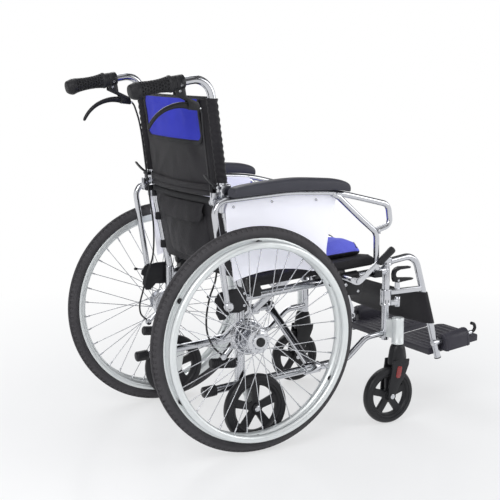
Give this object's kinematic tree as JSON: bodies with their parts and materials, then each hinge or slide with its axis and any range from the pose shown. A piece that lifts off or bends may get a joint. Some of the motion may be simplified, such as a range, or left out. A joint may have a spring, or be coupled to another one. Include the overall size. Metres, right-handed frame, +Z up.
{
  "type": "folding transit wheelchair",
  "caption": "Folding wheelchair with hand-rim drive wheels, swivel casters, flip-back armrests, swing-away footrests and a folding back.",
  "frame": {"origin": "on the floor, under the middle of the chair's length and width", "axes": "+X forwards, +Y to the sitter's left, +Z up"},
  "size_m": [1.0862, 0.6304, 0.9449],
  "materials": {
    "polished_aluminium": "polished",
    "satin_aluminium": "satin",
    "plated_steel": "plated",
    "grey_tyre": "matte",
    "black_plastic": "matte",
    "grip_rubber": "matte",
    "pad_foam": "matte skin",
    "pale_panel": "translucent",
    "black_fabric": "woven",
    "blue_fabric": "woven"
  },
  "bodies": {
    "frame_right": {"side_frame_right": "polished_aluminium", "tipping_sleeve_right": "grip_rubber", "rail_cap_right": "black_plastic", "wheel_axle_right": "plated_steel", "band_brake_right": "plated_steel", "armrest_lock_right": "black_plastic", "parking_bracket_right": "plated_steel", "brake_cable_right": "black_plastic", "lower_upholstery": "black_fabric"},
    "wheel_right": {"drive_tyre_right": "grey_tyre", "drive_wheel_right": "satin_aluminium", "hand_rim_right": "satin_aluminium"},
    "transit_right": {"transit_wheel_right": "black_plastic"},
    "fork_right": {"caster_fork_right": "black_plastic"},
    "caster_right": {"caster_wheel_right": "black_plastic"},
    "armrest_right": {"armrest_frame_right": "polished_aluminium", "armrest_pad_right": "pad_foam", "side_panel_right": "pale_panel"},
    "back_right": {"back_post_right": "polished_aluminium", "push_grip_right": "grip_rubber", "brake_clamp_right": "black_plastic", "upper_upholstery": "blue_fabric"},
    "attendant_lever_right": {"brake_lever_right": "black_plastic"},
    "release_right": {"back_release_right": "black_plastic"},
    "parking_right": {"parking_lever_right": "plated_steel"},
    "hanger_right": {"footrest_hanger_right": "polished_aluminium", "calf_strap": "black_fabric"},
    "latch_right": {"hanger_latch_right": "black_plastic"},
    "plate_right": {"footplate_right": "black_plastic"},
    "frame_left": {"side_frame_left": "polished_aluminium", "tipping_sleeve_left": "grip_rubber", "rail_cap_left": "black_plastic", "wheel_axle_left": "plated_steel", "band_brake_left": "plated_steel", "armrest_lock_left": "black_plastic", "parking_bracket_left": "plated_steel", "brake_cable_left": "black_plastic"},
    "wheel_left": {"drive_tyre_left": "grey_tyre", "drive_wheel_left": "satin_aluminium", "hand_rim_left": "satin_aluminium"},
    "transit_left": {"transit_wheel_left": "black_plastic"},
    "fork_left": {"caster_fork_left": "black_plastic"},
    "caster_left": {"caster_wheel_left": "black_plastic"},
    "armrest_left": {"armrest_frame_left": "polished_aluminium", "armrest_pad_left": "pad_foam", "side_panel_left": "pale_panel"},
    "back_left": {"back_post_left": "polished_aluminium", "push_grip_left": "grip_rubber", "brake_clamp_left": "black_plastic"},
    "attendant_lever_left": {"brake_lever_left": "black_plastic"},
    "release_left": {"back_release_left": "black_plastic"},
    "parking_left": {"parking_lever_left": "plated_steel"},
    "hanger_left": {"footrest_hanger_left": "polished_aluminium"},
    "latch_left": {"hanger_latch_left": "black_plastic"},
    "plate_left": {"footplate_left": "black_plastic"},
    "brace_right": {"cross_brace_right": "polished_aluminium", "seat_sling": "black_fabric", "seat_cushion": "blue_fabric"},
    "brace_left": {"cross_brace_left": "polished_aluminium"}
  },
  "joints": [
    {"name": "fold", "type": "hinge", "parent": "frame_right", "child": "brace_right", "pos_m": [-0.03164, -0.206, 0.17305], "axis": [0.9976, 0, 0.0698], "range_deg": [0, 36], "deforming": ["seat_sling", "seat_cushion", "upper_upholstery", "lower_upholstery", "calf_strap"]},
    {"name": "brace_scissor", "type": "hinge", "parent": "brace_right", "child": "brace_left", "pos_m": [-0.06469, 0, 0.30073], "axis": [0.9976, 0, 0.0698], "range_deg": [-72, 0]},
    {"name": "left_side_level", "type": "hinge", "parent": "brace_left", "child": "frame_left", "pos_m": [-0.07964, 0.206, 0.16969], "axis": [0.9976, 0, 0.0698], "range_deg": [0, 36]},
    {"name": "drive_wheel_spin_right", "type": "hinge", "parent": "frame_right", "child": "wheel_right", "pos_m": [-0.23964, -0.273, 0.2875], "axis": [0, 1, 0], "continuous": true},
    {"name": "transit_wheel_spin_right", "type": "hinge", "parent": "frame_right", "child": "transit_right", "pos_m": [-0.22164, -0.2397, 0.102], "axis": [0, 1, 0], "continuous": true},
    {"name": "caster_swivel_right", "type": "hinge", "parent": "frame_right", "child": "fork_right", "pos_m": [0.22036, -0.244, 0.2165], "axis": [0, 0, 1], "continuous": true},
    {"name": "caster_spin_right", "type": "hinge", "parent": "fork_right", "child": "caster_right", "pos_m": [0.19136, -0.244, 0.0775], "axis": [0, 1, 0], "continuous": true},
    {"name": "armrest_flip_right", "type": "hinge", "parent": "frame_right", "child": "armrest_right", "pos_m": [-0.29764, -0.235, 0.372], "axis": [0, -1, 0], "range_deg": [0, 105]},
    {"name": "back_fold_right", "type": "hinge", "parent": "frame_right", "child": "back_right", "pos_m": [-0.31814, -0.206, 0.63], "axis": [0, -1, 0], "range_deg": [0, 100], "deforming": ["brake_cable_right"]},
    {"name": "brake_lever_squeeze_right", "type": "hinge", "parent": "back_right", "child": "attendant_lever_right", "pos_m": [-0.38064, -0.206, 0.87], "axis": [0, 1, 0], "range_deg": [0, 16], "stiffness_Nm_per_rad": 1, "springref_deg": -8.59},
    {"name": "back_release_pull_right", "type": "hinge", "parent": "back_right", "child": "release_right", "pos_m": [-0.31364, -0.206, 0.6685], "axis": [0, -1, 0], "range_deg": [0, 20], "stiffness_Nm_per_rad": 0.2, "springref_deg": -8.59},
    {"name": "parking_brake_right", "type": "hinge", "parent": "frame_right", "child": "parking_right", "pos_m": [0.08536, -0.2475, 0.402], "axis": [0, -1, 0], "range_deg": [0, 22]},
    {"name": "hanger_swing_right", "type": "hinge", "parent": "frame_right", "child": "hanger_right", "pos_m": [0.20536, -0.206, 0.222], "axis": [0, 0, -1], "range_deg": [0, 90], "deforming": ["calf_strap"]},
    {"name": "hanger_latch_right", "type": "hinge", "parent": "hanger_right", "child": "latch_right", "pos_m": [0.24336, -0.206, 0.3835], "axis": [0, 1, 0], "range_deg": [0, 12], "stiffness_Nm_per_rad": 0.3, "springref_deg": -8.59},
    {"name": "footplate_flip_right", "type": "hinge", "parent": "hanger_right", "child": "plate_right", "pos_m": [0.37236, -0.2115, 0.194], "axis": [0.9925, 0, 0.1219], "range_deg": [0, 90]},
    {"name": "drive_wheel_spin_left", "type": "hinge", "parent": "frame_left", "child": "wheel_left", "pos_m": [-0.23964, 0.273, 0.2875], "axis": [0, 1, 0], "continuous": true},
    {"name": "transit_wheel_spin_left", "type": "hinge", "parent": "frame_left", "child": "transit_left", "pos_m": [-0.22164, 0.2397, 0.102], "axis": [0, 1, 0], "continuous": true},
    {"name": "caster_swivel_left", "type": "hinge", "parent": "frame_left", "child": "fork_left", "pos_m": [0.22036, 0.244, 0.2165], "axis": [0, 0, 1], "continuous": true},
    {"name": "caster_spin_left", "type": "hinge", "parent": "fork_left", "child": "caster_left", "pos_m": [0.19136, 0.244, 0.0775], "axis": [0, 1, 0], "continuous": true},
    {"name": "armrest_flip_left", "type": "hinge", "parent": "frame_left", "child": "armrest_left", "pos_m": [-0.29764, 0.235, 0.372], "axis": [0, -1, 0], "range_deg": [0, 105]},
    {"name": "back_fold_left", "type": "hinge", "parent": "frame_left", "child": "back_left", "pos_m": [-0.31814, 0.206, 0.63], "axis": [0, -1, 0], "range_deg": [0, 100], "deforming": ["brake_cable_left"]},
    {"name": "brake_lever_squeeze_left", "type": "hinge", "parent": "back_left", "child": "attendant_lever_left", "pos_m": [-0.38064, 0.206, 0.87], "axis": [0, 1, 0], "range_deg": [0, 16], "stiffness_Nm_per_rad": 1, "springref_deg": -8.59},
    {"name": "back_release_pull_left", "type": "hinge", "parent": "back_left", "child": "release_left", "pos_m": [-0.31364, 0.206, 0.6685], "axis": [0, -1, 0], "range_deg": [0, 20], "stiffness_Nm_per_rad": 0.2, "springref_deg": -8.59},
    {"name": "parking_brake_left", "type": "hinge", "parent": "frame_left", "child": "parking_left", "pos_m": [0.08536, 0.2475, 0.402], "axis": [0, -1, 0], "range_deg": [0, 22]},
    {"name": "hanger_swing_left", "type": "hinge", "parent": "frame_left", "child": "hanger_left", "pos_m": [0.20536, 0.206, 0.222], "axis": [0, 0, 1], "range_deg": [0, 90], "deforming": ["calf_strap"]},
    {"name": "hanger_latch_left", "type": "hinge", "parent": "hanger_left", "child": "latch_left", "pos_m": [0.24336, 0.206, 0.3835], "axis": [0, 1, 0], "range_deg": [0, 12], "stiffness_Nm_per_rad": 0.3, "springref_deg": -8.59},
    {"name": "footplate_flip_left", "type": "hinge", "parent": "hanger_left", "child": "plate_left", "pos_m": [0.37236, 0.2115, 0.194], "axis": [-0.9925, 0, -0.1219], "range_deg": [0, 90]}
  ],
  "couplings": [
    {"joint": "brace_scissor", "follows": "fold", "ratio": -2},
    {"joint": "left_side_level", "follows": "fold", "ratio": 1},
    {"joint": "footplate_flip_right", "follows": "fold", "ratio": 2.5},
    {"joint": "footplate_flip_left", "follows": "fold", "ratio": 2.5},
    {"joint": "back_fold_left", "follows": "back_fold_right", "ratio": 1}
  ]
}
